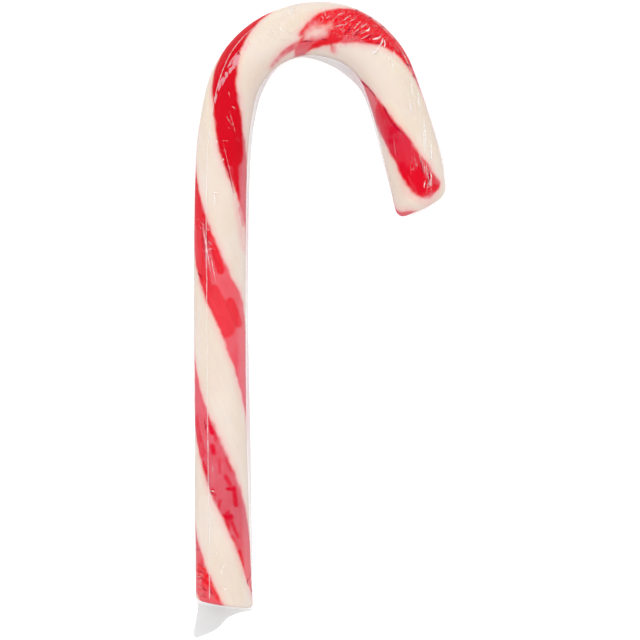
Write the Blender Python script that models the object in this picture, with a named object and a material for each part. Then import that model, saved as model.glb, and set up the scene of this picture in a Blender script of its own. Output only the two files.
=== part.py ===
"""A thick peppermint candy cane in its clear shrink film, lying on a table.

Two solids: the one-piece sugar cane, and the film round it, which is a tube with
a round opening over the hook's end and a flattened tail beyond the foot.
The cane lies on its side in the XY plane: the stem runs along +Y, the hook opens
towards +X, and +Z is the side that shows. Sizes below are in millimetres and degrees.
"""

import math

import bmesh
import bpy
from mathutils import Vector

MM = 0.001

# The centreline, from the foot to the hook's end: each bend's length and its turn to the right.
STEM_LEAN = 1.7
BENDS = ((94.5, 2.1), (17.5, 2.5), (15.0, 10.5), (35.0, 93.6), (17.5, 52.8), (33.0, 11.3))
LENGTH = sum(length for length, _ in BENDS)
FOOT = Vector((-23.8, -70.7))

# The rolled sugar is a little uneven: its radius at a few places along the centreline.
RADIUS = (
    (0, 7.05), (12, 6.8), (26, 6.65), (44, 6.42), (110, 6.42), (132, 6.25), (150, 6.4),
    (162, 6.85), (174, 6.6), (184, 6.55), (202, 7.0), (LENGTH, 6.5),
)

# The two cut ends: how far each cut is off square, its rim's rounding on the stem's
# outer and inner side, and how far the face domes out.
FOOT_CUT = {"skew": 10.0, "outer_rim": 0.7, "inner_rim": 1.3, "dome": 0.4}
HOOK_CUT = {"skew": 17.0, "outer_rim": 2.6, "inner_rim": 2.4, "dome": 0.3}
CUT_REACH = 16.0

# The film: its clearance from the sugar, its wall, and how far its edge on the inner side of
# the cane is from the centreline. It is drawn straight there, and bridges the hook's bend.
FILM_GAP = 0.3
FILM_WALL = 0.3
FILM_EDGE = (
    (0, 7.1), (12, 7.38), (27, 7.45), (45, 7.36), (60, 7.2), (78, 7.02), (98, 7.1), (120, 7.2),
    (130, 7.35), (144, 6.4), (150, 6.75), (156, 7.7), (162, 8.45), (168, 8.72), (174, 8.42),
    (180, 7.55), (186, 7.12), (195, 7.3), (204, 7.1), (LENGTH, 6.6),
)
FILM_MOUTH_RADIUS = 3.4

# The tail beyond the foot: how far it reaches, and where its left and right edges are.
TAIL = (
    (0.9, -6.6, 6.3), (1.9, -6.7, 3.4), (3.4, -7.1, 0.4), (4.8, -7.5, -1.2), (6.1, -7.8, -2.5),
    (7.4, -8.0, -4.9), (8.2, -7.8, -6.5),
)
TAIL_HALF_THICKNESS = 0.3
TAIL_DROOP = 2.2
TAIL_SQUARES_WITHIN = 5.0

# Faceting. With this many sides one facet lies flat underneath and a corner points to each side.
SIDES = 26
MOST_TURN = 6.0
MOST_STEP = 7.0
RIM_STEPS = 3
FLAT_SHARE = math.cos(math.pi / SIDES)

SUGAR_COLOUR = (0.84, 0.74, 0.63, 1.0)
FILM_COLOUR = (0.82, 0.81, 0.82, 0.25)


def at(table, place):
    """The value at this place on a smooth curve through the table's (place, value) points."""
    place = min(max(place, table[0][0]), table[-1][0])
    after = next(row for row in range(1, len(table)) if place <= table[row][0])
    (start, low), (end, high) = table[after - 1], table[after]
    (before, first), (beyond, last) = table[max(after - 2, 0)], table[min(after + 1, len(table) - 1)]
    span = end - start
    share = (place - start) / span
    slope_in = (high - first) / (end - before) * span
    slope_out = (last - low) / (beyond - start) * span
    eased = share * share * (3 - 2 * share)
    return (
        low + (high - low) * eased
        + slope_in * share * (1 - share) ** 2
        - slope_out * share**2 * (1 - share)
    )


def centreline(place):
    """The point and the heading of the centreline at this length from the foot."""
    point, heading, left = FOOT.copy(), math.radians(90 + STEM_LEAN), place
    for length, turn in BENDS:
        is_last = (length, turn) == BENDS[-1]
        step = left if is_last or left < length else length
        curve = math.radians(turn) / length
        after = heading - curve * step
        across = math.sin(heading) - math.sin(after)
        along = math.cos(after) - math.cos(heading)
        point += Vector((across, along)) / curve
        heading, left = after, left - step
        if left <= 0:
            break
    return point, heading


def lying_height(place):
    """The centreline's height: the film's lowest facet lies on the table all along."""
    return (at(RADIUS, place) + FILM_GAP + FILM_WALL) * FLAT_SHARE


def skew_at(place):
    """How much further along the inner side is than the centre, for each millimetre across."""
    foot_reach = CUT_REACH if place > 0 else TAIL_SQUARES_WITHIN
    foot_share = max(0.0, 1 - abs(place) / foot_reach)
    hook_share = max(0.0, 1 - abs(LENGTH - place) / CUT_REACH)
    foot_slope = math.tan(math.radians(FOOT_CUT["skew"]))
    hook_slope = math.tan(math.radians(HOOK_CUT["skew"]))
    return hook_slope * hook_share - foot_slope * foot_share


def in_place(place, across, up):
    """The point this far across, towards the inner side, and this far above the centreline."""
    along = place + skew_at(place) * across
    point, heading = centreline(along)
    side = Vector((math.sin(heading), -math.cos(heading)))
    flat = point + side * across
    return Vector((flat.x, flat.y, lying_height(place) + up)) * MM


def corner_angles():
    """Angles round the section, from the inner side over the top, with a facet flat underneath."""
    return [math.tau * number / SIDES for number in range(SIDES)]


def stations():
    """Places along the centreline, close enough together to follow each bend."""
    places, start = [], 0.0
    for length, turn in BENDS:
        steps = math.ceil(max(turn / MOST_TURN, length / MOST_STEP))
        places += [start + length * step / steps for step in range(steps)]
        start += length
    clear_of_rims = HOOK_CUT["outer_rim"] + 2 * (FILM_GAP + FILM_WALL)
    return [place for place in places if clear_of_rims < place < LENGTH - clear_of_rims]


def bulged(base, edge, angle):
    """The film's radius: round the sugar, and straight from there to its edge on the inner side."""
    if edge <= base:
        return base
    spread = math.acos(base / edge)
    off = abs((angle + math.pi) % math.tau - math.pi)
    return base / math.cos(spread - off) if off < spread else base


def section(place, offset, film=False):
    """One ring round the cane, this far outside the sugar, drawn out to the film's edge or not."""
    ring = []
    for angle in corner_angles():
        radius = at(RADIUS, place) + offset
        if film:
            edge = at(FILM_EDGE, place) + offset - FILM_GAP - FILM_WALL
            radius = bulged(radius, edge, angle)
        ring.append(in_place(place, radius * math.cos(angle), radius * math.sin(angle)))
    return ring


def rim(end, cut, offset, outwards):
    """The rings that turn the rim of a cut end, from its side to its face."""
    rings = []
    for step in range(RIM_STEPS + 1):
        turn = math.pi / 2 * step / RIM_STEPS
        ring = []
        for angle in corner_angles():
            inner_share = (1 + math.cos(angle)) / 2
            rounding = cut["outer_rim"] + (cut["inner_rim"] - cut["outer_rim"]) * inner_share + offset
            place = end + outwards * (offset - rounding * (1 - math.sin(turn)))
            radius = at(RADIUS, place) + offset - rounding * (1 - math.cos(turn))
            ring.append(in_place(place, radius * math.cos(angle), radius * math.sin(angle)))
        rings.append(ring)
    return rings


def ring_on_face(end, offset, radius, outwards):
    """A ring on the flat of a cut end, such as the film's opening."""
    place = end + outwards * offset
    return [
        in_place(place, radius * math.cos(angle), radius * math.sin(angle))
        for angle in corner_angles()
    ]


def tail_rings():
    """The film beyond the foot: it flattens to a double sheet and narrows to one corner."""
    rings, full = [], at(RADIUS, 0) + FILM_GAP + FILM_WALL
    for reach, left, right in TAIL:
        share = reach / TAIL[-1][0]
        middle, half_width = (left + right) / 2, (right - left) / 2
        half_height = TAIL_HALF_THICKNESS + (full - TAIL_HALF_THICKNESS) * (1 - share) ** 2.5
        ring = []
        for angle in corner_angles():
            across = middle + half_width * math.cos(angle)
            ring.append(in_place(-reach, across, half_height * math.sin(angle) - TAIL_DROOP * share))
        rings.append(ring)
    return rings


def add_rings(bm, rings):
    """A skin over the rings, in their order: a band of faces between each one and the next."""
    loops = [[bm.verts.new(point) for point in ring] for ring in rings]
    for before, after in zip(loops, loops[1:]):
        for corner in range(SIDES):
            following = (corner + 1) % SIDES
            bm.faces.new((before[corner], before[following], after[following], after[corner]))
    return loops


def close_with_dome(bm, loop, middle):
    """A fan of faces from the last ring to a point in the middle of the end."""
    peak = bm.verts.new(middle)
    for corner in range(SIDES):
        bm.faces.new((loop[corner], loop[(corner + 1) % SIDES], peak))


def finished(bm, name, material):
    bmesh.ops.recalc_face_normals(bm, faces=bm.faces)
    mesh = bpy.data.meshes.new(name)
    bm.to_mesh(mesh)
    bm.free()
    mesh.shade_smooth()
    mesh.set_sharp_from_angle(angle=math.radians(40))
    mesh.materials.append(material)
    piece = bpy.data.objects.new(name, mesh)
    bpy.context.scene.collection.objects.link(piece)
    return piece


def glossy(name, colour, roughness):
    material = bpy.data.materials.new(name)
    material.use_nodes = True
    shader = material.node_tree.nodes["Principled BSDF"]
    shader.inputs["Base Color"].default_value = colour
    shader.inputs["Alpha"].default_value = colour[3]
    shader.inputs["Roughness"].default_value = roughness
    shader.inputs["Metallic"].default_value = 0.0
    return material


def make_candy():
    """The sugar: one closed solid, with both cut ends rounded at the rim."""
    bm = bmesh.new()
    rings = list(reversed(rim(0, FOOT_CUT, 0, -1)))
    rings += [section(place, 0) for place in stations()]
    rings += rim(LENGTH, HOOK_CUT, 0, 1)
    loops = add_rings(bm, rings)
    close_with_dome(bm, loops[0], in_place(-FOOT_CUT["dome"], 0, 0))
    close_with_dome(bm, loops[-1], in_place(LENGTH + HOOK_CUT["dome"], 0, 0))
    return finished(bm, "candy_cane", glossy("sugar", SUGAR_COLOUR, 0.3))


def make_film():
    """The film: from the tail's tip out to the opening, and back inside to a cap at the foot."""
    outside, inside = FILM_GAP + FILM_WALL, FILM_GAP
    bm = bmesh.new()
    rings = list(reversed(tail_rings()))
    rings.append(rim(0, FOOT_CUT, outside, -1)[0])
    rings += [section(place, outside, film=True) for place in stations()]
    rings += rim(LENGTH, HOOK_CUT, outside, 1)
    rings.append(ring_on_face(LENGTH, outside, FILM_MOUTH_RADIUS, 1))
    rings.append(ring_on_face(LENGTH, inside, FILM_MOUTH_RADIUS, 1))
    rings += list(reversed(rim(LENGTH, HOOK_CUT, inside, 1)))
    rings += [section(place, inside, film=True) for place in reversed(stations())]
    rings += rim(0, FOOT_CUT, inside, -1)
    loops = add_rings(bm, rings)
    reach, left, right = TAIL[-1]
    tip = in_place(-reach - TAIL_HALF_THICKNESS, (left + right) / 2, -TAIL_DROOP)
    close_with_dome(bm, loops[0], tip)
    close_with_dome(bm, loops[-1], in_place(-FOOT_CUT["dome"] - inside, 0, 0))
    return finished(bm, "film_wrapper", glossy("clear_film", FILM_COLOUR, 0.08))


def main():
    for old in list(bpy.data.objects):
        bpy.data.objects.remove(old)
    make_candy()
    make_film()


main()
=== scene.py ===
# %% [markdown]
# # A peppermint candy cane in clear film
#
# The cook pulls boiled sugar white, lays two ropes of red sugar along it, and twists and rolls the
# lot into a thick rod. The rod is cut, and bent to a hook while it is warm. Then it goes into a
# sleeve of shrink film, which clings here, stands off there, and ends in a torn tail.
#
# The script follows that order. Each piece starts as a straight rod, gets its marks while it is
# straight, and is bent last. A mark's place is then two numbers: how far along the rod it is, and
# how far round.

# %% Open the frame and set the millimetre
import math

import bmesh
import bpy
import numpy as np
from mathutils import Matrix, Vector, noise


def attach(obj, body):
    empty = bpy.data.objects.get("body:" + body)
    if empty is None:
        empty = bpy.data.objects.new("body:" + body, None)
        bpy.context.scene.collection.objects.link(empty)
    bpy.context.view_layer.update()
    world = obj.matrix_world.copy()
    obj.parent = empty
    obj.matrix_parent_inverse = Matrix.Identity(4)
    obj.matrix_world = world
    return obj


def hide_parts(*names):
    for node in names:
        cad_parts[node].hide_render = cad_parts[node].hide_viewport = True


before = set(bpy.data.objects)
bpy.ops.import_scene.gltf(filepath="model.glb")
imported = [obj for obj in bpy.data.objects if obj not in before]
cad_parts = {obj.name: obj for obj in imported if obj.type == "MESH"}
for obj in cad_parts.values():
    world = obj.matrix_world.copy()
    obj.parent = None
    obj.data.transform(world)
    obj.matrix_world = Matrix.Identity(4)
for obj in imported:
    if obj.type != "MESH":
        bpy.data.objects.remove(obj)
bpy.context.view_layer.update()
MM = 0.001

# %% [markdown]
# ## The line that the cane follows
#
# A hook bent by hand is a row of arcs: nearly straight up the stem, tight over the shoulder, and
# opening again down the short leg. A Bezier curve could be drawn by eye, but arcs say what the
# hand did, and each needs two numbers: its length in millimetres and its turn in degrees.

# %% The bends
STEM_LEAN = 1.7
BENDS = ((94.5, 2.1), (17.5, 2.5), (15.0, 10.5), (35.0, 93.6), (17.5, 52.8), (33.0, 11.3))
LENGTH = sum(length for length, _ in BENDS)
FOOT = (-23.8, -70.7)


def centreline(place):
    """The points and headings of the centreline at these lengths from the foot."""
    x, y = np.full_like(place, FOOT[0]), np.full_like(place, FOOT[1])
    heading, left = np.full_like(place, math.radians(90 + STEM_LEAN)), place.copy()
    for number, (length, turn) in enumerate(BENDS):
        shortest = -np.inf if number == 0 else 0.0
        longest = np.inf if number == len(BENDS) - 1 else length
        step = np.clip(left, shortest, longest)
        radius = length / math.radians(turn)
        after = heading - step / radius
        x += (np.sin(heading) - np.sin(after)) * radius
        y += (np.cos(after) - np.cos(heading)) * radius
        heading, left = after, left - step
    return x, y, heading


end_x, end_y, _ = centreline(np.array([LENGTH]))
print(f"{LENGTH:g} mm of rod, which ends at x {end_x[0]:.1f}, y {end_y[0]:.1f}")

# %% [markdown]
# ## How thick the sugar is
#
# A rod rolled by hand is never even. It is fat at the cut foot, slimmer up the stem, and swells
# and flattens in the bend. A few measured places with a smooth curve through them are enough.
# Interpolating in straight lines would leave rings where the slope changes.


# %% A smooth curve through a few points
def smooth(points):
    """A function that follows a smooth curve through these (place, value) points."""
    places, values = np.array(points, float).T
    slopes = np.empty_like(values)
    slopes[1:-1] = (values[2:] - values[:-2]) / (places[2:] - places[:-2])
    slopes[0] = (values[1] - values[0]) / (places[1] - places[0])
    slopes[-1] = (values[-1] - values[-2]) / (places[-1] - places[-2])

    def value_at(place):
        place = np.clip(place, places[0], places[-1])
        after = np.clip(np.searchsorted(places, place), 1, len(places) - 1)
        before = after - 1
        span = places[after] - places[before]
        share = (place - places[before]) / span
        rise = values[after] - values[before]
        leaving = slopes[before] * span * share * (1 - share) ** 2
        arriving = slopes[after] * span * share**2 * (1 - share)
        return values[before] + rise * share * share * (3 - 2 * share) + leaving - arriving

    return value_at


sugar_radius = smooth((
    (0, 7.05), (12, 6.8), (26, 6.65), (44, 6.42), (110, 6.42), (132, 6.25), (150, 6.4),
    (162, 6.85), (174, 6.6), (184, 6.55), (202, 7.0), (LENGTH, 6.5),
))
print("radius every 50 mm:", np.round(sugar_radius(np.arange(0, LENGTH, 50.0)), 2))

# %% [markdown]
# ## Bending a straight rod into the cane
#
# Everything is marked out on a straight rod and bent afterwards, so one function does all the
# bending. It takes a point as it is on the rod: its place along it, how far across it is towards
# the hook's inner side, and how far up. Both ends were cut a little off square, so a point on the
# inner side shifts along the rod near them.

# %% Bend
FOOT_SKEW, HOOK_SKEW, SKEW_REACH, TAIL_REACH = 10.0, 17.0, 16.0, 5.0
FILM_ROOM = 0.6
FLAT_SHARE = math.cos(math.pi / 26)


def bent(place, across, up):
    """These points of the straight rod, in metres, where the bent cane has them."""
    foot_share = np.clip(1 - np.abs(place) / np.where(place > 0, SKEW_REACH, TAIL_REACH), 0, 1)
    hook_share = np.clip(1 - np.abs(LENGTH - place) / SKEW_REACH, 0, 1)
    skew = math.tan(math.radians(HOOK_SKEW)) * hook_share
    skew = skew - math.tan(math.radians(FOOT_SKEW)) * foot_share
    x, y, heading = centreline(place + skew * across)
    height = (sugar_radius(place) + FILM_ROOM) * FLAT_SHARE
    points = (x + across * np.sin(heading), y - across * np.cos(heading), height + up)
    return np.stack(points, axis=-1) * MM


# %% [markdown]
# ## The blank
#
# The real rod is rolled on a table, and the quickest round rod in Blender is a spun one: half its
# outline, turned once round its own line. The outline is three edges, cut into as many rows as
# the marks need. The blank is one unit long with pointed ends. Its rows are numbered by their
# height: -1 to 0 over the foot's end, 0 to 1 along the side, and 1 to 2 over the hook's end.


# %% Spin a blank
def blank_rod(sides, side_rows, end_rows, mouth=0.0):
    """A straight rod with pointed ends, and each point's row and angle round the rod."""
    bm = bmesh.new()
    corners = [bm.verts.new(co) for co in ((0, 0, -1), (1, 0, 0), (1, 0, 1), (mouth, 0, 2))]
    foot, side, hook = [bm.edges.new(pair) for pair in zip(corners, corners[1:])]
    bmesh.ops.subdivide_edges(bm, edges=[foot, hook], cuts=end_rows - 1)
    bmesh.ops.subdivide_edges(bm, edges=[side], cuts=side_rows - 1)
    outline = bm.verts[:] + bm.edges[:]
    bmesh.ops.spin(
        bm, geom=outline, cent=(0, 0, 0), axis=(0, 0, 1), dvec=(0, 0, 0),
        angle=math.tau, steps=sides, use_merge=True, use_duplicate=False,
    )
    bmesh.ops.remove_doubles(bm, verts=bm.verts, dist=1e-5)
    points = np.array([vertex.co for vertex in bm.verts])
    return bm, points[:, 2], np.arctan2(points[:, 1], points[:, 0])


def finished(bm, name, points, marks):
    """The blank moved to these points, as an object that carries these marks on its points."""
    for vertex, point in zip(bm.verts, points):
        vertex.co = point
    bmesh.ops.recalc_face_normals(bm, faces=bm.faces)
    mesh = bpy.data.meshes.new(name)
    bm.to_mesh(mesh)
    bm.free()
    mesh.shade_smooth()
    for label, values in marks.items():
        if values.ndim == 2:
            mark = mesh.attributes.new(label, "FLOAT_VECTOR", "POINT")
            mark.data.foreach_set("vector", values.astype(np.float32).ravel())
        else:
            mark = mesh.attributes.new(label, "FLOAT", "POINT")
            mark.data.foreach_set("value", values.astype(np.float32))
    piece = bpy.data.objects.new(name, mesh)
    bpy.context.scene.collection.objects.link(piece)
    print(f"{name}: {len(mesh.vertices)} points, {len(mesh.polygons)} faces")
    return piece


# %% [markdown]
# ## The sugar's outline
#
# Rows past the side turn the rim and then cross the cut face to its middle. The foot was cut
# cold and has a tight rim. The hook's end was cut warm and is rounder. Both faces dome a little.

# %% Shape the ends
FOOT_RIM, HOOK_RIM, DOME = 1.0, 2.5, 0.35
RIM_SHARE = 0.4
SUGAR_END = LENGTH + 0.3


def sugar_outline(row):
    """Each row's place along the rod and its distance from the centreline."""
    beyond = np.maximum(np.maximum(-row, row - 1), 0)
    rim = np.where(row < 0.5, FOOT_RIM, HOOK_RIM)
    turn = np.pi / 2 * np.minimum(beyond / RIM_SHARE, 1)
    face_share = np.clip((1 - beyond) / (1 - RIM_SHARE), 0, 1)
    on_face = beyond > RIM_SHARE
    from_end = np.where(on_face, -DOME * (1 - face_share**2), rim * (1 - np.sin(turn)))
    side = FOOT_RIM + row * (SUGAR_END - HOOK_RIM - FOOT_RIM)
    place = np.where(row < 0, from_end, np.where(row > 1, SUGAR_END - from_end, side))
    side_radius = sugar_radius(place)
    radius = side_radius - rim * (1 - np.cos(turn)) * (beyond > 0)
    radius = np.where(on_face, (side_radius - rim) * face_share, radius)
    return place, radius


# %% [markdown]
# ## Marks laid on the straight rod
#
# Stains, clinging patches and folds are all short strokes laid on the rod, from one place and
# angle to another. All that their functions need is how far a point is from such a stroke,
# measured over the sugar's skin in millimetres.

# %% Distance from a stroke
DEGREE = math.radians(1) * 6.6


def from_stroke(place, degrees, start, start_angle, end, end_angle):
    """How far each point is from this stroke, in millimetres."""
    run, climb = end - start, (end_angle - start_angle) * DEGREE
    along, around = place - start, (degrees - start_angle) * DEGREE
    share = np.clip((along * run + around * climb) / (run**2 + climb**2), 0, 1)
    return np.hypot(along - share * run, around - share * climb)


# %% [markdown]
# ## The red ropes
#
# The two red ropes wind round the rod as it is twisted. Each one's edges are told by where they
# are at a few angles of its winding, counted from the hook's inner side. Between those a smooth
# curve follows. What the material needs is not the outline itself but how deep inside the red a
# point is, in millimetres, because a depth can be softened, frayed and stained at its edge.

# %% Depth inside a wound rope
FIRST_ROPE = (
    (-90, -20, -7), (0, 2, 14), (30, 6, 24), (60, 14, 33), (90, 22, 41), (120, 30, 48.5),
    (150, 39, 57), (180, 47, 64), (270, 69, 85), (360, 91, 106), (390, 97, 115), (420, 104, 124),
    (450, 111, 131.5), (480, 122, 138.5), (510, 130, 145), (540, 138, 149), (630, 157, 171),
    (720, 174, 188), (750, 179.5, 194), (765, 183, 199), (780, 187, 205), (795, 191, 208.3),
    (810, 195.5, 210.3), (825, 200, 211), (840, 203.8, 211), (855, 207.3, 210.2), (864, 209, 208.6),
    (900, 216, 202),
)
SECOND_ROPE = (
    (60, -28, -8), (90, -22, 0), (120, -6, 7.5), (150, 0.5, 15), (180, 4, 21), (270, 24, 44),
    (360, 44, 67), (390, 51, 76), (420, 60, 81), (450, 68.3, 88), (480, 75.5, 96), (510, 83, 104),
    (540, 91, 111), (630, 115, 131), (700, 138, 146), (720, 146.5, 151), (735, 148.5, 152.5),
    (750, 149, 154), (765, 149.5, 158), (780, 151, 162), (795, 152.5, 166), (810, 153.8, 169),
    (825, 154.5, 171.5), (840, 156.5, 174), (855, 159.5, 177), (870, 162, 180), (885, 164.5, 184),
    (900, 168, 188), (990, 188, 203), (1080, 208.5, 218), (1110, 211.4, 221), (1140, 212.5, 224),
    (1170, 216, 230),
)
# Where the second rope tore on the bend: a pale tear, a spur and two smeared threads.
TEARS = ((154.4, 74, 158.0, 83, 1.15), (157.6, 83, 159.4, 92, 0.6))
SPURS = (
    (161.3, 62, 162.0, 42, 0.7, -0.05), (151.5, 56, 142.5, 35, 0.8, 0.15), (143, 36, 140, 26, 0.5, -0.2), (154.5, 100, 152.0, 76, 0.5, 0.5),
    (102, 42, 90, 18, 1.3, -0.5), (98.5, 38, 94.5, 26, 0.5, 0.0), (206.5, 74, 210.8, 112, 1.7, -0.7),
)


def rope_depth(place, degrees, rope):
    """How deep inside this rope each point is, in millimetres, and below 0 how far outside."""
    deepest = np.full_like(place, -99.0)
    low_edge = smooth([(turned, low) for turned, low, _ in rope])
    high_edge = smooth([(turned, high) for turned, _, high in rope])
    for turns in range(4):
        turned = degrees + 360 * turns
        depths = []
        for edge, sign in ((low_edge, 1), (high_edge, -1)):
            slope = (edge(turned + 6) - edge(turned - 6)) / (12 * DEGREE)
            depths.append(sign * (place - edge(turned)) / np.sqrt(1 + slope**2))
        depth = np.minimum(*depths)
        wound = (turned >= rope[0][0]) & (turned <= rope[-1][0])
        deepest = np.where(wound, np.maximum(deepest, depth), deepest)
    return deepest


# %% [markdown]
# ## Building materials with few words
#
# Every material below is a small graph of nodes. Three helpers keep them short: one adds a node
# and fills its inputs, one turns a value into a soft step, and one blends two colours. All the
# patterns are worked out from marks that each piece carries on its points, so they stay where
# they are when the piece is moved or exported.


# %% Helpers for materials
def add(tree, kind, inputs, **settings):
    """A new node's first output. Each of its inputs gets a value or another node's output."""
    node = tree.nodes.new("ShaderNode" + kind)
    for name, value in settings.items():
        setattr(node, name, value)
    for name, value in inputs.items():
        if isinstance(value, bpy.types.NodeSocket):
            tree.links.new(value, node.inputs[name])
        else:
            node.inputs[name].default_value = value
    return node.outputs[0]


def mark(tree, label, output="Fac"):
    """The value that a piece carries on its points under this label."""
    node = tree.nodes.new("ShaderNodeAttribute")
    node.attribute_name = label
    return node.outputs[output]


def step(tree, value, low, high, at_low=0.0, at_high=1.0):
    """A soft step: at_low where the value is under low, and at_high where it is over high."""
    limits = {"From Min": low, "From Max": high, "To Min": at_low, "To Max": at_high}
    return add(tree, "MapRange", {"Value": value, **limits}, interpolation_type="SMOOTHSTEP")


def sums(tree, operation, first, second):
    return add(tree, "Math", {0: first, 1: second}, operation=operation)


def blend(tree, share, first, second):
    """The first colour where the share is 0, and the second where it is 1."""
    node = tree.nodes.new("ShaderNodeMix")
    node.data_type = "RGBA"
    for socket, value in zip((node.inputs[0], node.inputs[6], node.inputs[7]), (share, first, second)):
        if isinstance(value, bpy.types.NodeSocket):
            tree.links.new(value, socket)
        else:
            socket.default_value = value if socket.type == "VALUE" else (*value, 1)
    return node.outputs[2]


def grain(tree, place, stretch, scale, detail=2.0):
    """Noise over a place in millimetres. A small stretch draws the grain out along that axis."""
    place = add(tree, "VectorMath", {0: place, 1: stretch}, operation="MULTIPLY")
    return add(tree, "TexNoise", {"Vector": place, "Scale": scale, "Detail": detail})


def shade(name):
    """An empty material, its node tree, and the function that sets its surface."""
    material = bpy.data.materials.new(name)
    material.use_nodes = True
    tree = material.node_tree
    tree.nodes.clear()
    output = tree.nodes.new("ShaderNodeOutputMaterial")
    return material, tree, lambda surface: tree.links.new(surface, output.inputs["Surface"])


# %% [markdown]
# ## The colour of the sugar
#
# Pulled sugar is a warm off-white, never paper white, with a silky grain along its twist, and the lighter
# streaks of that grain on the white are a painted sheen. The red rope is no flat colour either: its dye creeps
# into the white as a pink fringe under a millimetre wide, and along the cane it drifts between orange-red and
# crimson.

# %% Sugar material
CREAM, WARM_CREAM, PINK = (0.755, 0.668, 0.56), (0.735, 0.635, 0.50), (0.80, 0.40, 0.38)
RED_ALONG = (
    (8, (0.76, 0.010, 0.018)), (22, (0.62, 0.000, 0.020)), (55, (0.74, 0.004, 0.030)),
    (72, (0.78, 0.018, 0.030)), (98, (0.70, 0.006, 0.020)), (112, (0.61, 0.000, 0.010)),
    (140, (0.61, 0.000, 0.010)), (156, (0.74, 0.003, 0.012)), (178, (0.70, 0.001, 0.012)),
    (194, (0.61, 0.001, 0.026)), (204, (0.70, 0.000, 0.014)),
)


def sugar_material():
    material, tree, set_surface = shade("pulled_sugar")
    rolled, pulled = mark(tree, "rolled", "Vector"), mark(tree, "pulled", "Vector")
    silk_and_sheen = grain(tree, pulled, (1.0, 1.0, 0.06), 1.6, 3.0)
    cloud = grain(tree, rolled, (1.0, 1.0, 0.5), 0.12)
    cream = blend(tree, step(tree, cloud, 0.35, 0.65), CREAM, WARM_CREAM)
    # Lighter cream along the grain: a painted sheen.
    cream = blend(tree, step(tree, silk_and_sheen, 0.45, 0.75, 0, 0.35), cream, (0.79, 0.725, 0.64))

    along = tree.nodes.new("ShaderNodeSeparateXYZ")
    tree.links.new(rolled, along.inputs[0])
    ramp = tree.nodes.new("ShaderNodeValToRGB")
    tree.links.new(sums(tree, "DIVIDE", along.outputs[2], LENGTH), ramp.inputs[0])
    stops = ramp.color_ramp.elements
    for number, (place, colour) in enumerate(RED_ALONG):
        stop = stops[number] if number < 2 else stops.new(1)
        stop.position, stop.color = place / LENGTH, (*colour, 1)
    red = blend(tree, step(tree, silk_and_sheen, 0.4, 0.7, 0, 0.3), ramp.outputs[0], (0.50, 0.0, 0.012))

    wander = sums(tree, "MULTIPLY", sums(tree, "SUBTRACT", grain(tree, rolled, (1, 1, 1), 0.35), 0.5), 1.2)
    fray = sums(tree, "MULTIPLY", sums(tree, "SUBTRACT", grain(tree, pulled, (1, 1, 0.3), 1.6), 0.5), 0.4)
    depth = sums(tree, "ADD", mark(tree, "red_depth"), sums(tree, "ADD", wander, fray))
    fringed = blend(tree, step(tree, depth, -2.1, 0.3, 0, 0.65), cream, PINK)
    colour = blend(tree, step(tree, depth, -0.55, 0.5), fringed, red)
    body = {
        "Base Color": colour, "Roughness": 0.42, "Specular IOR Level": 0.04,
        "Subsurface Weight": 0.12, "Subsurface Radius": (1.0, 0.45, 0.3), "Subsurface Scale": 0.0012,
    }
    set_surface(add(tree, "BsdfPrincipled", body))
    return material


# %% [markdown]
# ## The sugar
#
# The blank is given the sugar's outline and slightly lumpy sides, and then bent. The ropes lie
# under the skin to a small depth only, so on a cut face they show as a rim. Three marks stay
# on its points for the material: where each point was on the straight rod, the same place with
# the twist taken out, so that a pattern can run along the stripes as the pulled sugar's silk
# does, and the depth inside the red.

# %% Noise for relief
def lumps(points, size):
    """Smooth noise from -1 to 1 at these points, with lumps of this size in millimetres."""
    return np.array([noise.noise(Vector(point)) for point in points / size])


def lumpy(radius, angle, place):
    """The radius with the slight unevenness that rolling by hand leaves."""
    rolled = np.stack((radius * np.cos(angle), radius * np.sin(angle), place), axis=-1)
    return radius * (1 + 0.008 * lumps(rolled, 9.0) + 0.004 * lumps(rolled, 3.5))


# %% Make the sugar
PITCH, ROPE_THICKNESS = 92.0, 2.8
sugar_blank, row, angle = blank_rod(sides=112, side_rows=600, end_rows=16)
place, radius = sugar_outline(row)
degrees = np.degrees(angle) % 360
radius = lumpy(radius, angle, place)
rolled = np.stack((radius * np.cos(angle), radius * np.sin(angle), place), axis=-1)
untwisted = angle - place / PITCH * math.tau
pulled = np.stack((radius * np.cos(untwisted), radius * np.sin(untwisted), place), axis=-1)
red_depth = np.maximum(
    rope_depth(place, degrees, FIRST_ROPE), rope_depth(place, degrees, SECOND_ROPE)
)
for *stroke, width in TEARS:
    red_depth = np.minimum(red_depth, 0.4 * (from_stroke(place, degrees, *stroke) - width))
for *stroke, width, deepest in SPURS:
    spur = np.minimum(width - from_stroke(place, degrees, *stroke), deepest)
    red_depth = np.maximum(red_depth, spur)
red_depth = np.minimum(red_depth, ROPE_THICKNESS - (sugar_radius(place) - radius))
sugar = finished(
    sugar_blank, "candy_cane_sugar", bent(place, radius * np.cos(angle), radius * np.sin(angle)),
    {"rolled": rolled, "pulled": pulled, "red_depth": red_depth},
)
sugar.data.materials.append(sugar_material())
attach(sugar, "root")
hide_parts("candy_cane")

# %% [markdown]
# ## Where the film touches and where it stands off
#
# Shrink film pulls tight round the outside of the bend, so on the inside it cannot follow and
# spans the bend as a taut clear web. Elsewhere it touches in wet-looking patches, where the red
# shows dark and clear, and hangs a hair off between them, where it looks milky. The web's width
# is a smooth curve along the cane. Each patch is a short stroke between two places, with a width
# and a strength.

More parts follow.
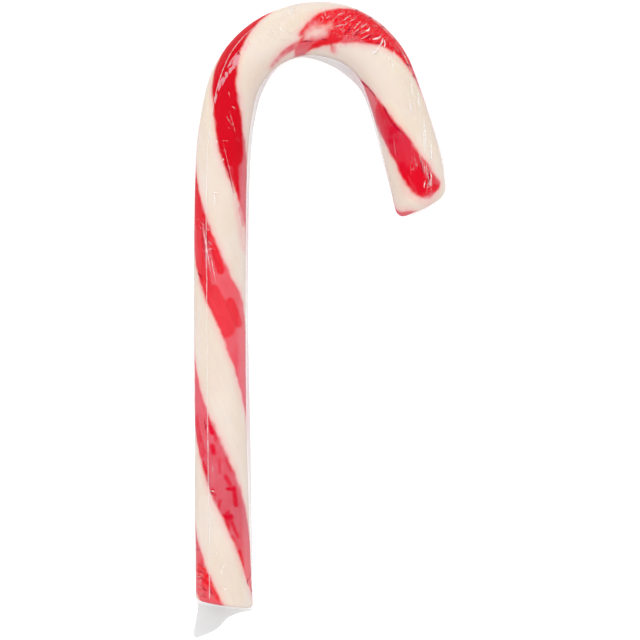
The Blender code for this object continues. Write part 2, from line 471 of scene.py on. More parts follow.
# %% The web and the patches
INNER_WEB = (
    (0, 0.1), (6, 0.12), (9, 0.35), (12, 0.55), (20, 0.6), (30, 0.85), (45, 0.9), (60, 0.75),
    (75, 0.6), (96, 0.65), (111, 0.75), (120, 0.8), (131, 1.0), (135, 0.8), (138, 0.5), (141, 0.25),
    (144, 0.1), (150, 0.25), (153, 0.6), (156, 1.05), (159, 1.35), (162, 1.6), (168, 1.9),
    (171, 1.95), (174, 1.75), (177, 1.4), (180, 0.9), (183, 0.65), (186, 0.55), (192, 0.5),
    (198, 0.4), (204, 0.15), (LENGTH, 0.1),
)
OUTER_WEB = ((190, 0.1), (195, 0.2), (201, 0.4), (204, 0.45), (207, 0.4), (LENGTH, 0.1))
PATCHES = (
    (21.9, 71, 21.9, 85, 0.7, 1), (19, 78, 23, 76, 0.5, 0.8), (17, 55, 21, 70, 0.35, 0.8),
    (25, 58, 29, 61, 0.55, 0.9), (28.9, 63, 28.9, 75, 0.45, 1), (30, 70, 32, 80, 0.4, 0.8),
    (15, 64, 17, 68, 0.3, 0.7), (10, 45, 13.3, 52, 0.4, 0.9), (24, 97, 26, 92, 0.3, 0.7),
    (27.4, 105, 28.6, 110, 0.5, 0.6), (33, 125, 35, 132, 0.6, 0.85), (38, 137, 46, 160, 1.5, 0.55),
    (41, 139, 42, 144, 0.6, 0.8), (44.5, 152, 46, 160, 0.6, 0.8), (38, 105, 39.5, 108, 0.55, 0.95),
    (43, 108, 44, 112, 0.55, 1), (44.5, 113, 47, 117, 0.25, 0.8), (33, 92, 36, 92, 0.3, 0.5),
    (41, 100, 43, 103, 0.3, 0.6), (33.5, 67, 36, 76, 0.35, 0.6), (5.5, 125, 6.5, 150, 0.5, 1),
    (7, 125, 8, 155, 0.5, 1), (8.5, 130, 9.8, 150, 0.35, 0.9), (2, 98, 5, 112, 0.9, 0.7),
    (69, 75, 77, 110, 2.6, 0.75), (70, 42, 75, 65, 1.2, 0.85), (80, 130, 95, 145, 1.3, 0.8),
    (81, 128, 84, 150, 0.7, 0.9), (95, 145, 106, 160, 1.8, 0.95), (83, 87, 92, 110, 0.9, 0.9),
    (90, 117, 97, 128, 0.5, 0.8), (77, 112, 83, 118, 0.6, 0.8), (101, 47, 113, 62, 0.7, 1),
    (103, 57, 108, 68, 0.25, 0.9), (106, 70, 111, 88, 0.35, 0.9), (112, 65, 122, 85, 3.4, 1),
    (120, 100, 134, 125, 4.2, 1), (128, 130, 146, 165, 4.5, 0.95), (160, 110, 176, 140, 3.6, 0.9),
    (160.5, 64, 163, 95, 1.6, 0.85), (154, 100, 158, 125, 0.7, 0.7), (151, 60, 153.5, 90, 0.6, 0.6),
    (192.5, 55, 192, 72, 1, 1), (194.6, 48, 195.2, 60, 0.7, 1),
    (201, 64, 206, 66, 0.8, 1), (203, 84, 208, 98, 1.6, 1), (187, 58, 190, 68, 0.8, 0.9),
    (188, 55, 208, 88, 3.6, 0.75), (198.6, 36, 200, 41, 0.4, 0.9), (182, 42, 188, 56, 0.4, 0.6),
    (84, 150, 100, 166, 1.4, 0.6), (154, 30, 156, 46, 0.8, 0.9), (157, 52, 160, 62, 0.8, 0.9),
    (4, 128, 9, 148, 0.8, 0.6), (208.6, 80, 209.6, 130, 0.8, 0.8),
)


def clinging(place, degrees):
    """How closely the film touches the sugar here, from 0 to 1."""
    closest = np.zeros_like(place)
    for *stroke, width, strength in PATCHES:
        gap = from_stroke(place, degrees, *stroke)
        closest = np.maximum(closest, strength * np.clip(0.5 + (width + 0.12 - gap) / 0.35, 0, 1))
    return closest


# %% [markdown]
# ## The film's outline
#
# The film is so thin that one skin stands for it. Over the web the skin follows the two straight
# lines from the edge to where they touch the round sugar, and below it does the same down to the
# table. At the foot it collapses into a flat torn tail. At the hook's end it shrinks over the
# rim and stops in a round mouth with a rolled lip.

# %% The skin round the side
def tent(radius, edge, angle, towards):
    """The skin's radius where it runs straight from an edge, which points this way, to the sugar."""
    edge = np.maximum(edge, radius)
    apart = np.abs((angle - towards + np.pi) % math.tau - np.pi)
    touching = np.arccos(radius / edge)
    return np.where(apart < touching, radius / np.cos(touching - apart), radius)


def skin_radius(place, angle):
    """The skin's distance from the centreline along the side."""
    sugar_here = sugar_radius(place)
    held = clinging(place, np.degrees(angle) % 360)
    around = np.stack((6 * np.cos(angle), 6 * np.sin(angle), place), axis=-1)
    hang = 0.1 + 0.07 * lumps(around, 2.2) + 0.05 * lumps(around, 0.9)
    near = lumpy(sugar_here, angle, place) + 0.04 + np.maximum(hang, 0) * (1 - held)
    inner = tent(sugar_here, sugar_here + smooth(INNER_WEB)(place), angle, 0.0)
    outer = tent(sugar_here, sugar_here + smooth(OUTER_WEB)(place), angle, np.pi)
    under = tent(sugar_here, (sugar_here + FILM_ROOM) * FLAT_SHARE - 0.03, angle, -np.pi / 2)
    taut = np.maximum(inner, outer) - np.maximum(near, sugar_here + 0.1)
    spans_and_edge_light = np.clip(taut / 0.3, 0, 1) + np.clip((taut - 0.1) / 0.6, 0, 1)
    # Extra milky cover on both flanks and on the inner side is painted light: a painted sheen along the flanks,
    # and painted brightness that lifts the shade on the inner side.
    flank_sheen = np.clip((np.abs(np.cos(angle)) - 0.9) / 0.08, 0, 1) * (1 - held)
    inward = np.clip((np.cos(angle) - 0.68) / 0.14, 0, 1) * (1 - held)
    spans_and_edge_light = np.maximum.reduce([spans_and_edge_light, 1.4 * flank_sheen, 0.8 * inward])
    radius = np.maximum.reduce([near, inner, outer, under])
    beside = np.clip((np.abs(radius * np.cos(angle)) - sugar_here - 0.08) / 0.15, 0, 1)
    free = 0.62 * beside * np.clip(taut / 0.1, 0, 1)
    return radius, held, spans_and_edge_light, free


# %% The tail and the mouth
TAIL_LEFT = smooth((
    (0, -7.1), (0.9, -6.6), (1.9, -6.7), (3.4, -7.1), (4.8, -7.5), (6.1, -7.8), (7.4, -8.0),
    (8.2, -7.8), (8.5, -7.2),
))
TAIL_RIGHT = smooth((
    (0, 7.15), (0.9, 6.5), (1.9, 3.9), (3.4, 0.9), (4.8, -0.5), (6.1, -1.8), (7.4, -4.2),
    (8.2, -6.5), (8.5, -7.2),
))
TAIL_LENGTH, TAIL_DROOP, TAIL_THICKNESS = 8.5, 2.2, 0.12
MOUTH_RADIUS, LIP_RADIUS = 3.4, 0.18
HOOK_SKIN_RIM = HOOK_RIM + 0.1


def skin_outline(row, angle):
    """Each point's place, how far across and up it is, and the marks for the film's material."""
    on_side = (row >= 0) & (row <= 1)
    side_start, side_end = 0.6, SUGAR_END + 0.05 - HOOK_SKIN_RIM
    place = side_start + np.clip(row, 0, 1) * (side_end - side_start)
    radius, held, spans_and_edge_light, free = skin_radius(place, angle)
    across, up = radius * np.cos(angle), radius * np.sin(angle)

    beyond = np.clip(-row, 0, 1)
    reach = TAIL_LENGTH * beyond**1.3
    left, right = TAIL_LEFT(reach), TAIL_RIGHT(reach)
    closing = np.clip(reach / 0.9, 0, 1)
    flat_across = (left + right) / 2 + (right - left) / 2 * np.cos(angle)
    full_height = sugar_radius(np.zeros(1))[0]
    share = reach / TAIL_LENGTH
    pleats = 0.25 * np.sin(angle * 1 + 9 * flat_across / 6) * np.sin(np.pi * share)
    flat_height = TAIL_THICKNESS + (full_height - TAIL_THICKNESS) * (1 - share) ** 2.5
    flat_up = flat_height * np.sin(angle) - TAIL_DROOP * share + pleats * closing
    in_tail = row < 0
    ease = closing * closing * (3 - 2 * closing)
    across = np.where(in_tail, across + (flat_across - across) * ease, across)
    up = np.where(in_tail, up + (flat_up - up) * ease, up)
    place = np.where(in_tail, side_start - (reach + side_start * ease), place)

    turn = np.clip((row - 1) / 0.35, 0, 1) * np.pi / 2
    inward = np.clip((row - 1.35) / 0.5, 0, 1)
    curl = np.clip((row - 1.85) / 0.15, 0, 1) * 1.5 * np.pi
    rim_radius = radius - HOOK_SKIN_RIM * (1 - np.cos(turn))
    inner_edge = MOUTH_RADIUS + LIP_RADIUS * (1 - np.sin(curl))
    end_radius = rim_radius + (inner_edge - rim_radius) * inward
    gathers = 0.1 + 0.1 * np.sin(angle * 17 + 2 * np.sin(angle * 3))
    gathers = gathers * np.clip((row - 1.2) / 0.5, 0, 1)
    end_place = side_end + HOOK_SKIN_RIM * np.sin(turn) + DOME * inward + gathers * (curl == 0)
    end_place = end_place + LIP_RADIUS * (1 - np.cos(curl))
    at_end = row > 1
    across = np.where(at_end, end_radius * np.cos(angle), across)
    up = np.where(at_end, end_radius * np.sin(angle), up)
    place = np.where(at_end, end_place, place)
    free = np.where(in_tail, np.maximum(free, ease), np.where(at_end, 0.0, free))
    return place, across, up, held * on_side, spans_and_edge_light * on_side, free


# %% [markdown]
# ## The look of the film
#
# Film like this is nearly invisible where it lies on wet sugar, milky where it hangs just off it, and pale grey
# where it is free, because there it only dims what is behind. So its cover is a small share, worked out from the
# marks for touch and slack. Along the flanks and on the inner side the cover is raised further as painted light,
# and creases add bright threads that are painted highlights.

# %% Film material
VEIL, TOUCHING, SPANNING, TAUT, FREE = 0.125, 0.002, 0.19, 0.42, 0.30


def film_material():
    material, tree, set_surface = shade("clear_film")
    rolled = mark(tree, "rolled", "Vector")
    held, free = mark(tree, "held"), mark(tree, "free")
    patchy = grain(tree, rolled, (1, 1, 0.6), 0.35)
    veil = step(tree, patchy, 0.3, 0.7, VEIL * 0.8, VEIL * 1.15)
    along = tree.nodes.new("ShaderNodeSeparateXYZ")
    tree.links.new(rolled, along.inputs[0])
    on_leg = step(tree, along.outputs[2], 178, 184)
    bend_and_leg = ((0.3, 0.3, 1.2), (1.2, 1.2, 0.2))
    broad = [grain(tree, rolled, stretch, 1.0, 3.0) for stretch in bend_and_leg]
    fine = [grain(tree, rolled, stretch, 2.1, 2.0) for stretch in bend_and_leg]
    streaks = add(tree, "Mix", {"Factor": on_leg, "A": broad[0], "B": broad[1]})
    streaks = step(tree, streaks, 0.46, 0.66, 0.0, 0.2)
    fine = add(tree, "Mix", {"Factor": on_leg, "A": fine[0], "B": fine[1]})
    crinkled = mark(tree, "crinkled")
    creases = []
    # The first set of creases is a painted highlight: thin threads of raised, pinkish-white cover.
    for level, width in ((0.53, 0.014), (0.41, 0.03)):
        apart = sums(tree, "ABSOLUTE", sums(tree, "SUBTRACT", fine, level), 0)
        crease = step(tree, apart, 0.2 * width, width, 1, 0)
        creases.append(sums(tree, "MULTIPLY", crease, step(tree, crinkled, 0.4, 0.9)))
    bright, wet = creases
    veil = add(tree, "Mix", {"Factor": crinkled, "A": veil, "B": streaks})
    veil = sums(tree, "MULTIPLY", veil, sums(tree, "SUBTRACT", 1.0, wet))
    cover = add(tree, "Mix", {"Factor": held, "A": veil, "B": TOUCHING})
    cover = sums(tree, "MAXIMUM", cover, sums(tree, "MULTIPLY", bright, 0.32))
    # This mark is partly the real haze of film standing off the sugar, and partly painted light on the flanks
    # and the inner side.
    spans_and_edge_light = mark(tree, "spans_and_edge_light")
    taut = sums(tree, "SUBTRACT", spans_and_edge_light, 1.0)
    cover = add(tree, "Mix", {"Factor": spans_and_edge_light, "A": cover, "B": SPANNING})
    cover = add(tree, "Mix", {"Factor": taut, "A": cover, "B": TAUT})
    cover = add(tree, "Mix", {"Factor": free, "A": cover, "B": FREE})
    colour = blend(tree, spans_and_edge_light, (0.95, 0.80, 0.92), (0.97, 0.86, 0.96))
    colour = blend(tree, bright, colour, (1, 0.82, 0.82))
    colour = blend(tree, taut, colour, (0.96, 0.97, 1.0))
    colour = blend(tree, free, colour, (0.29, 0.28, 0.29))
    milk = add(tree, "BsdfPrincipled", {"Base Color": colour, "Roughness": 0.3, "Specular IOR Level": 0.2})
    clear = add(tree, "BsdfTransparent", {})
    film = add(tree, "MixShader", {"Fac": cover, 1: clear, 2: milk})
    pleats = grain(tree, rolled, (0.35, 0.35, 1.0), 0.9, 3.0)
    pleats = sums(tree, "ABSOLUTE", sums(tree, "SUBTRACT", pleats, 0.5), 0)
    height = sums(tree, "MULTIPLY", pleats, step(tree, crinkled, 0, 1, 0.08, 1))
    puckered = add(tree, "Bump", {"Height": height, "Distance": 0.0022})
    gloss = add(tree, "BsdfGlossy", {"Roughness": 0.1, "Normal": puckered})
    facing = sums(tree, "MINIMUM", add(tree, "Fresnel", {"IOR": 1.3}), 0.02)
    set_surface(add(tree, "MixShader", {"Fac": facing, 1: film, 2: gloss}))
    return material


# %% [markdown]
# ## Crinkles
#
# On the outside of the bend the film has too little room and puckers across the cane, and down the leg it is
# pulled lengthwise. Real crinkles are sharp little folds that catch the light as white threads. Modelled folds
# stay crisp from near and stand out at the edge, so each is a strip with a ridge, laid on the skin. The white
# thread along its crest is a painted highlight, with painted shade on its lee side. The ones that stand out are
# listed one by one, and a seeded dice throw adds small ones in the crinkled zones.

# %% Zones and folds
ZONES = (
    (155, 112, 178, 132, 3.2, 1.0), (160, 85, 166, 92, 1.8, 0.8), (164, 160, 184, 165, 1.6, 0.9),
    (143, 100, 151, 108, 2.8, 0.4), (199, 114, 208, 112, 1.6, 0.8), (96, 118, 84, 105, 1.5, 0.35),
    (1, 140, 11, 132, 2.2, 0.35), (105, 60, 122, 75, 2.0, 0.35), (180, 135, 200, 118, 3.0, 0.45),
    (188, 52, 206, 88, 2.6, 0.3),
)
SHARP_FOLDS = (
    ((167.3, 112), (168.1, 116), (167.7, 127), 0.38), ((169.7, 106), (170.4, 115), (170.8, 128), 0.42),
    ((171.1, 127), (172.2, 117), (171.9, 105), 0.40), ((171.8, 108), (172.9, 97), (172.2, 85), 0.45),
    ((171.4, 127), (172.8, 122), (172.9, 111), 0.28), ((174.7, 114), (175.2, 109), (176.3, 104), 0.33),
    ((174.5, 129), (175.5, 124), (176.3, 117), 0.24), ((205.4, 121), (207.0, 118), (209.0, 112), 0.22),
    ((206.8, 105), (207.5, 101), (208.5, 99), 0.28),
    ((102.0, 92), (102.2, 100), (102.0, 108), 0.36), ((110.6, 99), (111.0, 104), (111.4, 110), 0.31),
    ((110.1, 88), (110.5, 86), (110.8, 85), 0.33), ((114.4, 103), (114.8, 103), (115.2, 102), 0.27),
    ((12.8, 100), (13.3, 104), (13.0, 110), 0.31), ((20.2, 104), (20.8, 108), (20.2, 112), 0.26),
    ((28.0, 103), (28.7, 108), (28.3, 113), 0.23),
)
FOLDS = (
    ((159.8, 103), (160.0, 111), (160.6, 118), 0.15), ((160.5, 118), (161.0, 126), (162.1, 133), 0.21),
    ((162.1, 110), (162.5, 120), (163.3, 131), 0.29), ((163.4, 112), (163.7, 120), (164.6, 129), 0.17),
    ((165.0, 102), (165.1, 114), (165.6, 128), 0.21), ((166.3, 112), (166.4, 122), (167.0, 131), 0.28),
    ((167.4, 90), (168.3, 100), (168.6, 113), 0.18), ((160.5, 94), (161.2, 98), (162.0, 100), 0.15),
    ((161.0, 96), (161.8, 101), (163.0, 105), 0.15), ((157.0, 114), (157.8, 110), (157.8, 104), 0.17),
    ((157.3, 126), (158.3, 119), (158.0, 111), 0.14), ((174.5, 130), (175.3, 121), (176.3, 109), 0.18),
    ((175.0, 121), (175.9, 117), (175.9, 111), 0.14), ((178.2, 137), (180.4, 130), (183.4, 119), 0.15),
    ((144.3, 106), (144.5, 94), (145.8, 82), 0.17), ((146.3, 117), (145.9, 104), (147.0, 90), 0.15),
    ((152.4, 148), (151.0, 132), (151.9, 116), 0.11), ((149.0, 92), (148.6, 84), (150.2, 77), 0.15),
    ((147.7, 120), (147.1, 108), (148.0, 96), 0.14), ((148.3, 97), (148.8, 87), (150.6, 79), 0.18),
    ((150.1, 109), (150.5, 100), (151.0, 93), 0.14), ((151.9, 149), (151.2, 136), (151.6, 123), 0.15),
    ((152.7, 131), (152.0, 120), (152.4, 109), 0.13), ((151.1, 96), (152.0, 88), (152.8, 84), 0.15),
    ((146.0, 79), (147.5, 72), (149.2, 70), 0.13), ((163.2, 58), (163.6, 58), (164.0, 60), 0.20),
    ((164.8, 63), (165.2, 66), (165.6, 66), 0.20), ((143.8, 119), (144.2, 122), (144.4, 126), 0.18),
    ((190.0, 115), (191.6, 112), (193.2, 108), 0.14), ((200.0, 105), (201.0, 104), (202.2, 102), 0.14),
    ((203.0, 131), (204.0, 126), (205.2, 120), 0.18), ((201.2, 121), (203.6, 118), (206.0, 113), 0.15),
    ((202.5, 90), (203.2, 84), (203.0, 79), 0.13), ((186.5, 128), (189.0, 122), (190.6, 116), 0.11),
    ((101.5, 56), (108.0, 70), (115.0, 89), 0.11), ((117.2, 62), (119.5, 70), (122.8, 84), 0.13),
    ((120.0, 77), (120.3, 84), (121.4, 88), 0.17), ((123.2, 70), (124.0, 76), (123.8, 81), 0.20),
    ((126.0, 88), (126.8, 92), (127.4, 95), 0.13),
    ((87.5, 116), (88.8, 109), (88.3, 102), 0.13),
    ((9.5, 100), (10.3, 94), (10.0, 88), 0.18), ((10.6, 84), (11.0, 78), (10.6, 72), 0.21),
    ((3.4, 158), (4.4, 146), (3.6, 134), 0.18), ((6.0, 160), (7.0, 150), (6.4, 140), 0.15),
    ((1.6, 150), (2.4, 140), (1.8, 131), 0.14), ((33.0, 108), (34.0, 105), (35.0, 108), 0.13),
    ((53.0, 95), (53.4, 99), (53.2, 103), 0.10), ((203.2, 131), (204.2, 129), (205.4, 127), 0.22),
    ((197.0, 127), (198.0, 126), (199.2, 124), 0.18), ((200.4, 133), (201.3, 134), (202.2, 133), 0.16),
)
SOFT_FOLDS = (
    ((199.7, 102), (200.6, 103), (201.4, 103), 0.12), ((200.2, 107), (202.4, 105), (204.8, 102), 0.10),
    ((200.7, 109), (203.6, 108), (206.5, 105), 0.10), ((201.5, 113), (205.0, 113), (208.5, 110), 0.13),
    ((203.2, 117), (205.6, 119), (208.0, 118), 0.14), ((202.6, 111), (204.6, 110), (206.8, 107), 0.09),
    ((163.0, 160), (169.0, 157), (175.0, 151), 0.32), ((172.0, 153), (177.0, 149), (183.0, 150), 0.30),
    ((180.0, 142), (184.0, 130), (188.0, 120), 0.40), ((183.0, 150), (187.0, 138), (191.0, 127), 0.45),
    ((190.0, 140), (195.0, 128), (200.0, 118), 0.50), ((193.0, 128), (197.0, 120), (201.0, 114), 0.35),
    ((196.0, 142), (200.0, 131), (204.0, 123), 0.50), ((185.0, 120), (188.0, 113), (191.0, 107), 0.30),
    ((172.2, 80), (171.8, 90), (172.4, 99), 0.50), ((148.0, 112), (146.8, 98), (149.0, 84), 0.35),
    ((151.0, 140), (150.2, 128), (151.2, 116), 0.35), ((99.0, 100), (100.5, 103), (102.0, 101), 0.35),
    ((176.0, 112), (177.5, 108), (178.2, 103), 0.35), ((7.5, 96), (9.0, 92), (10.8, 84), 0.40),
    ((4.0, 92), (4.6, 86), (4.2, 80), 0.40), ((81.0, 106), (88.0, 117), (97.0, 134), 0.16),
    ((84.0, 112), (89.0, 120), (94.0, 130), 0.14), ((79.0, 96), (84.0, 104), (88.0, 112), 0.14),
)
# Dark folds: strips coloured a deep wine red, as painted shade in the film's folds.
DARK_FOLDS = (
    ((176.6, 16), (178.2, 22), (180.2, 30), 0.68), ((178.0, 22), (180.5, 36), (183.6, 48), 0.45),
    ((5.2, 26), (6.2, 42), (7.4, 22), 0.36), ((7.0, 19), (8.4, 13), (9.9, 10), 0.33),
    ((4.0, 1), (3.9, 12), (4.7, 21), 0.39), ((13.6, 143), (13.5, 155), (14.0, 168), 0.27),
    ((29.4, 118), (31.2, 116), (33.2, 119), 0.24), ((27.0, 105), (28.2, 116), (29.2, 106), 0.27),
    ((5.8, 127), (6.2, 140), (7.2, 152), 0.30), ((7.7, 129), (7.9, 142), (8.4, 156), 0.30),
    ((9.5, 132), (9.6, 141), (10.1, 149), 0.24), ((3.1, 123), (3.5, 132), (4.2, 141), 0.27),
    ((1.4, 127), (1.9, 136), (2.5, 146), 0.24), ((2.0, 110), (3.0, 116), (4.4, 118), 0.24),
    ((151.6, 57), (153.4, 62), (155.2, 56), 0.36), ((160.8, 64), (160.2, 58), (161.3, 50), 0.30),
    ((157.2, 66), (158.6, 61), (159.6, 66), 0.30), ((164.0, 150), (163.6, 158), (164.2, 167), 0.39),
    ((166.8, 148), (166.6, 158), (167.2, 168), 0.42), ((169.6, 147), (169.5, 157), (170.0, 168), 0.42),
    ((172.8, 150), (172.6, 158), (173.2, 166), 0.39), ((175.6, 146), (175.8, 155), (176.4, 166), 0.45),
    ((178.4, 140), (178.2, 152), (179.0, 164), 0.45), ((180.8, 146), (181.2, 156), (181.8, 165), 0.42),
    ((163.2, 84), (164.4, 96), (164.2, 108), 0.33), ((165.8, 88), (166.3, 98), (166.2, 110), 0.36),
    ((168.0, 96), (169.0, 104), (169.3, 116), 0.33), ((171.0, 104), (171.4, 110), (171.9, 120), 0.39),
    ((184.6, 55), (187.6, 59), (191.0, 65), 0.30), ((189.6, 60), (191.6, 70), (195.0, 86), 0.24),
    ((200.6, 104), (203.0, 102), (205.6, 104), 0.30), ((203.8, 118), (206.0, 114), (208.6, 108), 0.33),
    ((101.0, 57), (106.0, 68), (111.4, 83), 0.24),
    ((80.6, 128), (81.8, 138), (82.6, 149), 0.39), ((84.0, 118), (90.0, 128), (96.0, 138), 0.27),
    ((88.0, 112), (92.0, 120), (97.0, 130), 0.24),
    ((43.0, 121), (44.6, 124), (46.4, 127), 0.27), ((136.4, 108), (136.3, 114), (136.6, 121), 0.33),
)
# Facets: flat faces whose pink colour is a painted reflection of the lamp.
REFLECTION_FACETS = (
    ((126.4, 118), (128.4, 120), (130.6, 117), 0.75), ((131.4, 105), (134.0, 108), (136.8, 108), 1.15),
    ((130.2, 108), (131.0, 112), (131.4, 117), 0.5), ((128.0, 113), (129.4, 114), (130.6, 112), 0.4),
    ((137.0, 109), (138.3, 110), (140.0, 110), 0.5), ((123.8, 120), (125.2, 121), (126.4, 120), 0.35),
    ((132.0, 117), (134.4, 118), (137.0, 117), 0.3), ((137.4, 116), (138.8, 117), (140.2, 116), 0.35),
)


def crinkling(place, degrees):
    """How crinkled the film is here, from 0 to 1."""
    most = np.zeros_like(place)
    for *stroke, width, strength in ZONES:
        near = np.clip(1.5 - from_stroke(place, degrees, *stroke) / width, 0, 1)
        most = np.maximum(most, strength * near)
    return most


def scattered_folds(count):
    """Small folds thrown into the zones. On the bend they lie across the cane, on the leg along it."""
    dice = np.random.default_rng(5)
    folds = []
    while len(folds) < count:
        start, start_angle, end, end_angle, width, strength = ZONES[dice.integers(len(ZONES))]
        share, aside, keep = dice.random(), dice.normal() * width * 0.6, dice.random()
        place = start + (end - start) * share
        degrees = start_angle + (end_angle - start_angle) * share + aside / DEGREE
        if keep > strength:
            continue
        lengthwise = place > 184
        run = dice.uniform(1.5, 4.5) if lengthwise else dice.uniform(-0.1, 1.0)
        climb = dice.uniform(-10, -4) if lengthwise else dice.uniform(4, 11) + 14 * dice.random() ** 3
        for _ in range(dice.integers(1, 4)):
            bow, grown = dice.normal() * 0.35, dice.uniform(0.6, 1.2)
            tip = (place + run * grown, degrees + climb * grown)
            middle = (place + run / 2 - bow, degrees + climb / 2)
            folds.append(((place, degrees), middle, tip, 0.05 + 0.08 * dice.random() ** 2))
            place, degrees = place + dice.uniform(0.3, 0.7), degrees + dice.normal() * 3
    return folds


def laid_folds(name, folds, steps, height, blunt):
    """Strips with a ridge along them, laid on the skin along these three-point paths."""
    bm = bmesh.new()
    places, angles, lifts, crests, sides = [], [], [], [], []
    for start, middle, end, half_width in folds:
        made = bmesh.ops.create_grid(bm, x_segments=steps, y_segments=4, size=1.0)
        u, v = np.array([vertex.co[:2] for vertex in made["verts"]]).T
        u = (u + 1) / 2
        path = [np.outer((1 - u) ** 2, start), np.outer(2 * u * (1 - u), middle), np.outer(u**2, end)]
        along, degrees = sum(path).T
        run, climb = end[0] - start[0], (end[1] - start[1]) * DEGREE
        taper = np.sin(np.pi * np.clip(u, 0.02, 0.98)) ** blunt
        spread = v * half_width * taper / math.hypot(run, climb)
        places.append(along - spread * climb)
        angles.append(np.radians(degrees + spread * run / DEGREE))
        lifts.append(0.03 + height * (1 - np.abs(v)) * taper)
        crests.append((1 - np.abs(v)) * taper)
        sides.append(v)
    place, angle = np.concatenate(places), np.concatenate(angles)
    skin = skin_radius(place, angle)[0] + np.concatenate(lifts)
    points = bent(place, skin * np.cos(angle), skin * np.sin(angle))
    around = np.stack((6 * np.cos(angle), 6 * np.sin(angle), place), axis=-1)
    marks = {"rolled": around, "crest": np.concatenate(crests), "side": np.concatenate(sides)}
    return finished(bm, name, points, marks)


# %% Fold materials
# Crest colours are painted highlights; lee colours are painted shade.
WHITE_HIGHLIGHT, BLUSH_HIGHLIGHT = (1.0, 1.0, 1.0), (1.0, 0.86, 0.83)
LEE_SHADE, ROSE_SHADE, WINE_SHADE = (0.20, 0.04, 0.03), (0.42, 0.06, 0.06), (0.46, 0.0, 0.035)


def fold_material(name, cover, colours=(WHITE_HIGHLIGHT, LEE_SHADE), shade_cover=0.25, weakest=0.15):
    """A painted highlight along the crest and a little painted shade on its lee side, fading out at the edges.
    """
    material, tree, set_surface = shade(name)
    shaded_side = step(tree, mark(tree, "side"), 0.1, 0.5)
    colour = blend(tree, shaded_side, *colours)
    most = step(tree, shaded_side, 0, 1, cover, cover * shade_cover)
    crest = step(tree, mark(tree, "crest"), 0.0, 0.75)
    broken = step(tree, grain(tree, mark(tree, "rolled", "Vector"), (1, 1, 1), 2.2), 0.40, 0.58, weakest, 1)
    body = {
        "Base Color": colour, "Roughness": 0.25, "Specular IOR Level": 0.1,
        "Alpha": sums(tree, "MULTIPLY", sums(tree, "MULTIPLY", crest, broken), most),
    }
    set_surface(add(tree, "BsdfPrincipled", body))
    return material


def painted_reflection_material():
    """A painted reflection of the lamp on a flat face of film, with edges as ragged as torn paper."""
    material, tree, set_surface = shade("facet_painted_reflection")
    ragged = grain(tree, mark(tree, "rolled", "Vector"), (1, 1, 0.45), 1.3, 3.0)
    edge = sums(tree, "ADD", mark(tree, "crest"), sums(tree, "MULTIPLY", ragged, 2.2))
    body = {"Base Color": (1, 0.58, 0.66, 1), "Roughness": 0.3, "Alpha": step(tree, edge, 1.36, 1.46, 0, 0.42)}
    set_surface(add(tree, "BsdfPrincipled", body))
    return material


# %% Make the film
film_blank, row, angle = blank_rod(sides=128, side_rows=560, end_rows=40, mouth=0.5)
place, across, up, held, spans_and_edge_light, free = skin_outline(row, angle)
film = finished(
    film_blank, "film_skin", bent(place, across, up),
    {"rolled": np.stack((6 * np.cos(angle), 6 * np.sin(angle), place), axis=-1),
     "held": held, "spans_and_edge_light": spans_and_edge_light, "free": free,
     "crinkled": crinkling(place, np.degrees(angle) % 360)},
)
film.data.materials.append(film_material())
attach(film, "root")
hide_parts("film_wrapper")

# %% Lay the folds
thin_fold = fold_material("thin_fold", 0.5)
for name, folds, steps, height, blunt, look in (
    ("film_sharp_folds", SHARP_FOLDS, 14, 0.12, 0.5,
     fold_material("sharp_fold", 0.9, (BLUSH_HIGHLIGHT, LEE_SHADE), 0.12, 0.6)),
    ("film_folds", FOLDS, 14, 0.12, 0.5, fold_material("bright_fold", 0.62, (BLUSH_HIGHLIGHT, ROSE_SHADE), 0.2, 0.4)),
    ("film_soft_folds", SOFT_FOLDS, 14, 0.05, 0.9, fold_material("soft_fold", 0.65, shade_cover=0.0, weakest=0.5)),
    ("film_shaded_folds", DARK_FOLDS, 14, 0.05, 0.6, fold_material("shaded_fold", 0.75, (WINE_SHADE, WINE_SHADE), 1.0, 0.4)),
    ("film_small_folds", scattered_folds(190), 8, 0.08, 0.4, thin_fold),
    ("film_reflection_facets", REFLECTION_FACETS, 24, 0.02, 0.5, painted_reflection_material()),
):
    piece = laid_folds(name, folds, steps, height, blunt)
    piece.data.materials.append(look)
    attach(piece, "root")

# %% [markdown]
# ## The seam
#
# The sleeve was welded from flat film. Its seam runs up the stem and over the shoulder as one thin crease, which
# wavers a little; the bright thread along it is a painted highlight, with painted shade on its lee side. It is a
# fold like the others, only very long.

# %% Lay the seam
SEAM = smooth((
    (1, 119), (20, 117), (40, 118), (60, 118), (80, 119), (100, 121), (122, 123), (130, 124),
    (134, 129), (138, 134), (142, 137), (150, 142),
))
seam_places = np.arange(1.5, 148, 4.5)
seam_folds = []
for start, end in zip(seam_places, seam_places[1:]):
    middle = (start + end) / 2
    waver = 0.5 * math.sin(middle * 1.7) + 0.4 * math.sin(middle * 0.61)
    path = [(at, float(SEAM(np.array(at)))) for at in (start - 0.4, middle, end + 0.4)]
    path[1] = (middle, path[1][1] + waver)
    seam_folds.append((*path, 0.26))
seam = laid_folds("film_seam", seam_folds, 10, 0.10, 0.25)
seam.data.materials.append(fold_material("seam_crease", 0.5, shade_cover=0.35, weakest=0.5))
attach(seam, "root")

# %% The floor, the light and the camera
floor_mesh = bpy.data.meshes.new("floor")
floor_bm = bmesh.new()
bmesh.ops.create_grid(floor_bm, x_segments=1, y_segments=1, size=6.0)
floor_bm.to_mesh(floor_mesh)
floor_bm.free()
floor = bpy.data.objects.new("floor", floor_mesh)
bpy.context.scene.collection.objects.link(floor)


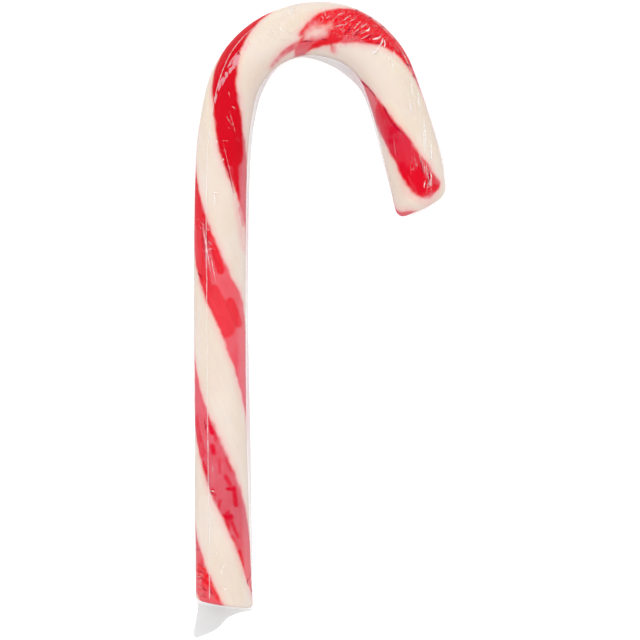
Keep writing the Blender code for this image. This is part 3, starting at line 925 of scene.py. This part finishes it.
def plain_material(name, colour, roughness):
    material = bpy.data.materials.new(name)
    material.use_nodes = True
    shader = material.node_tree.nodes["Principled BSDF"]
    shader.inputs["Base Color"].default_value = (*colour, 1)
    shader.inputs["Roughness"].default_value = roughness
    return material


paper = plain_material("pale_paper", (0.85, 0.85, 0.85), 0.9)
shader = paper.node_tree.nodes["Principled BSDF"]
shader.inputs["Specular IOR Level"].default_value = 0.0
shader.inputs["Emission Color"].default_value = (1, 1, 1, 1)
lifted = paper.node_tree.nodes.new("ShaderNodeLightPath").outputs["Is Camera Ray"]
lifted = sums(paper.node_tree, "MULTIPLY", lifted, 0.5)
paper.node_tree.links.new(lifted, shader.inputs["Emission Strength"])
floor_mesh.materials.append(paper)

world = bpy.data.worlds.new("studio")
world.use_nodes = True
sky = world.node_tree.nodes["Background"]
rays = world.node_tree.nodes.new("ShaderNodeLightPath")
mirrored = sums(world.node_tree, "MULTIPLY", rays.outputs["Is Glossy Ray"], -0.85)
world.node_tree.links.new(sums(world.node_tree, "ADD", mirrored, 1.0), sky.inputs["Strength"])
sky.inputs["Color"].default_value = (1, 1, 1, 1)
bpy.context.scene.world = world
bpy.context.scene.view_settings.view_transform = "Standard"


def panel(name, place, size, power):
    light = bpy.data.lights.new(name, "AREA")
    light.shape = "SQUARE"
    light.size = size
    light.energy = power
    lamp = bpy.data.objects.new(name, light)
    lamp.location = place
    lamp.rotation_euler = (-Vector(place)).to_track_quat("-Z", "Y").to_euler()
    bpy.context.scene.collection.objects.link(lamp)
    return lamp


panel("top_softbox", (0.05, 0.25, 1.2), 0.5, 3.1).visible_glossy = False
panel("glint_lamp", (-0.5, 0.6, 0.64), 0.25, 0.9)

LENS, WIDE = 200.0, 0.1595
camera_data = bpy.data.cameras.new("camera")
camera_data.lens = LENS
camera = bpy.data.objects.new("camera", camera_data)
camera.location = (0, 0, 0.007 + WIDE * LENS / camera_data.sensor_width)
camera_data.clip_end = 50
bpy.context.scene.collection.objects.link(camera)
bpy.context.scene.camera = camera
